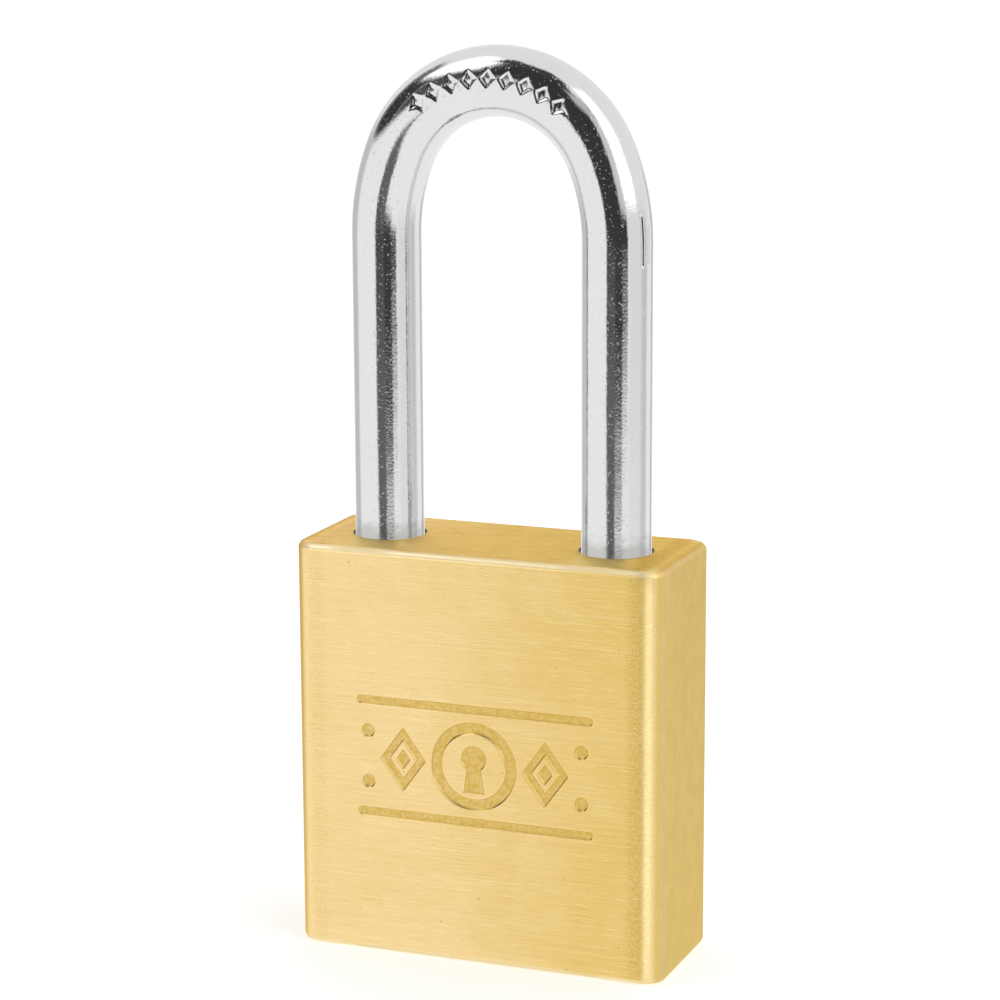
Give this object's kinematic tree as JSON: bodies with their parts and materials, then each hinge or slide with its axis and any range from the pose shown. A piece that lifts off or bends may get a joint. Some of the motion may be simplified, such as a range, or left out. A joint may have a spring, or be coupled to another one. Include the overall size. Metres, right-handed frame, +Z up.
{
  "type": "padlock",
  "caption": "Solid brass block padlock with a tall polished chrome shackle, ball-bearing locking and a pin tumbler cylinder.",
  "frame": {"origin": "centre of the body's underside", "axes": "+Z up along the shackle legs, +X towards the toe leg that comes free, -Y out of the engraved front face"},
  "size_m": [0.0444, 0.018, 0.1035],
  "materials": {
    "body_brass": "satin, brushed along the width, lacquered",
    "shackle_chrome": "polished chrome plate over hardened steel, lightly pitted",
    "spring_steel": "drawn spring wire",
    "ball_steel": "ground and polished bearing steel",
    "cam_steel": "machined, lightly oiled",
    "cylinder_brass": "machined",
    "plug_brass": "machined, face turned",
    "clip_steel": "blued spring steel",
    "screw_steel": "black oxide",
    "pin_brass": "turned",
    "pin_nickel_silver": "turned nickel silver"
  },
  "bodies": {
    "lock_body": {"body": "body_brass", "cylinder_housing": "cylinder_brass", "pin_chamber_cover": "cylinder_brass", "cylinder_retaining_screw": "screw_steel", "shackle_spring": "spring_steel", "driver_pin_1": "pin_nickel_silver", "driver_pin_2": "pin_nickel_silver", "driver_pin_3": "pin_nickel_silver", "driver_pin_4": "pin_nickel_silver", "driver_pin_5": "pin_nickel_silver", "driver_spring_1": "spring_steel", "driver_spring_2": "spring_steel", "driver_spring_3": "spring_steel", "driver_spring_4": "spring_steel", "driver_spring_5": "spring_steel"},
    "shackle": {"shackle": "shackle_chrome"},
    "plug": {"cylinder_plug": "plug_brass", "plug_retainer_clip": "clip_steel", "key_pin_1": "pin_brass", "key_pin_2": "pin_brass", "key_pin_3": "pin_brass", "key_pin_4": "pin_brass", "key_pin_5": "pin_brass"},
    "cam": {"actuator_cam": "cam_steel"},
    "heel_ball": {"heel_locking_ball": "ball_steel"},
    "toe_ball": {"toe_locking_ball": "ball_steel"}
  },
  "joints": [
    {"name": "shackle_lift", "type": "slide", "parent": "lock_body", "child": "shackle", "axis": [0, 0, 1], "range_m": [0, 0.0142], "deforming": ["shackle_spring"]},
    {"name": "plug_turn", "type": "hinge", "parent": "lock_body", "child": "plug", "pos_m": [0, 0, 0], "axis": [0, 0, 1], "range_deg": [-90, 0]},
    {"name": "cam_turn", "type": "hinge", "parent": "lock_body", "child": "cam", "pos_m": [0, 0, 0.0392], "axis": [0, 0, 1], "range_deg": [-90, 0]},
    {"name": "heel_ball_slide", "type": "slide", "parent": "lock_body", "child": "heel_ball", "axis": [-1, 0, 0], "range_m": [0, 0.001]},
    {"name": "toe_ball_slide", "type": "slide", "parent": "lock_body", "child": "toe_ball", "axis": [1, 0, 0], "range_m": [0, 0.0022]}
  ],
  "couplings": [
    {"joint": "cam_turn", "follows": "plug_turn", "ratio": 1},
    {"joint": "heel_ball_slide", "follows": "plug_turn", "m_per_rad": -0.00063662},
    {"joint": "toe_ball_slide", "follows": "plug_turn", "m_per_rad": -0.0014006}
  ]
}
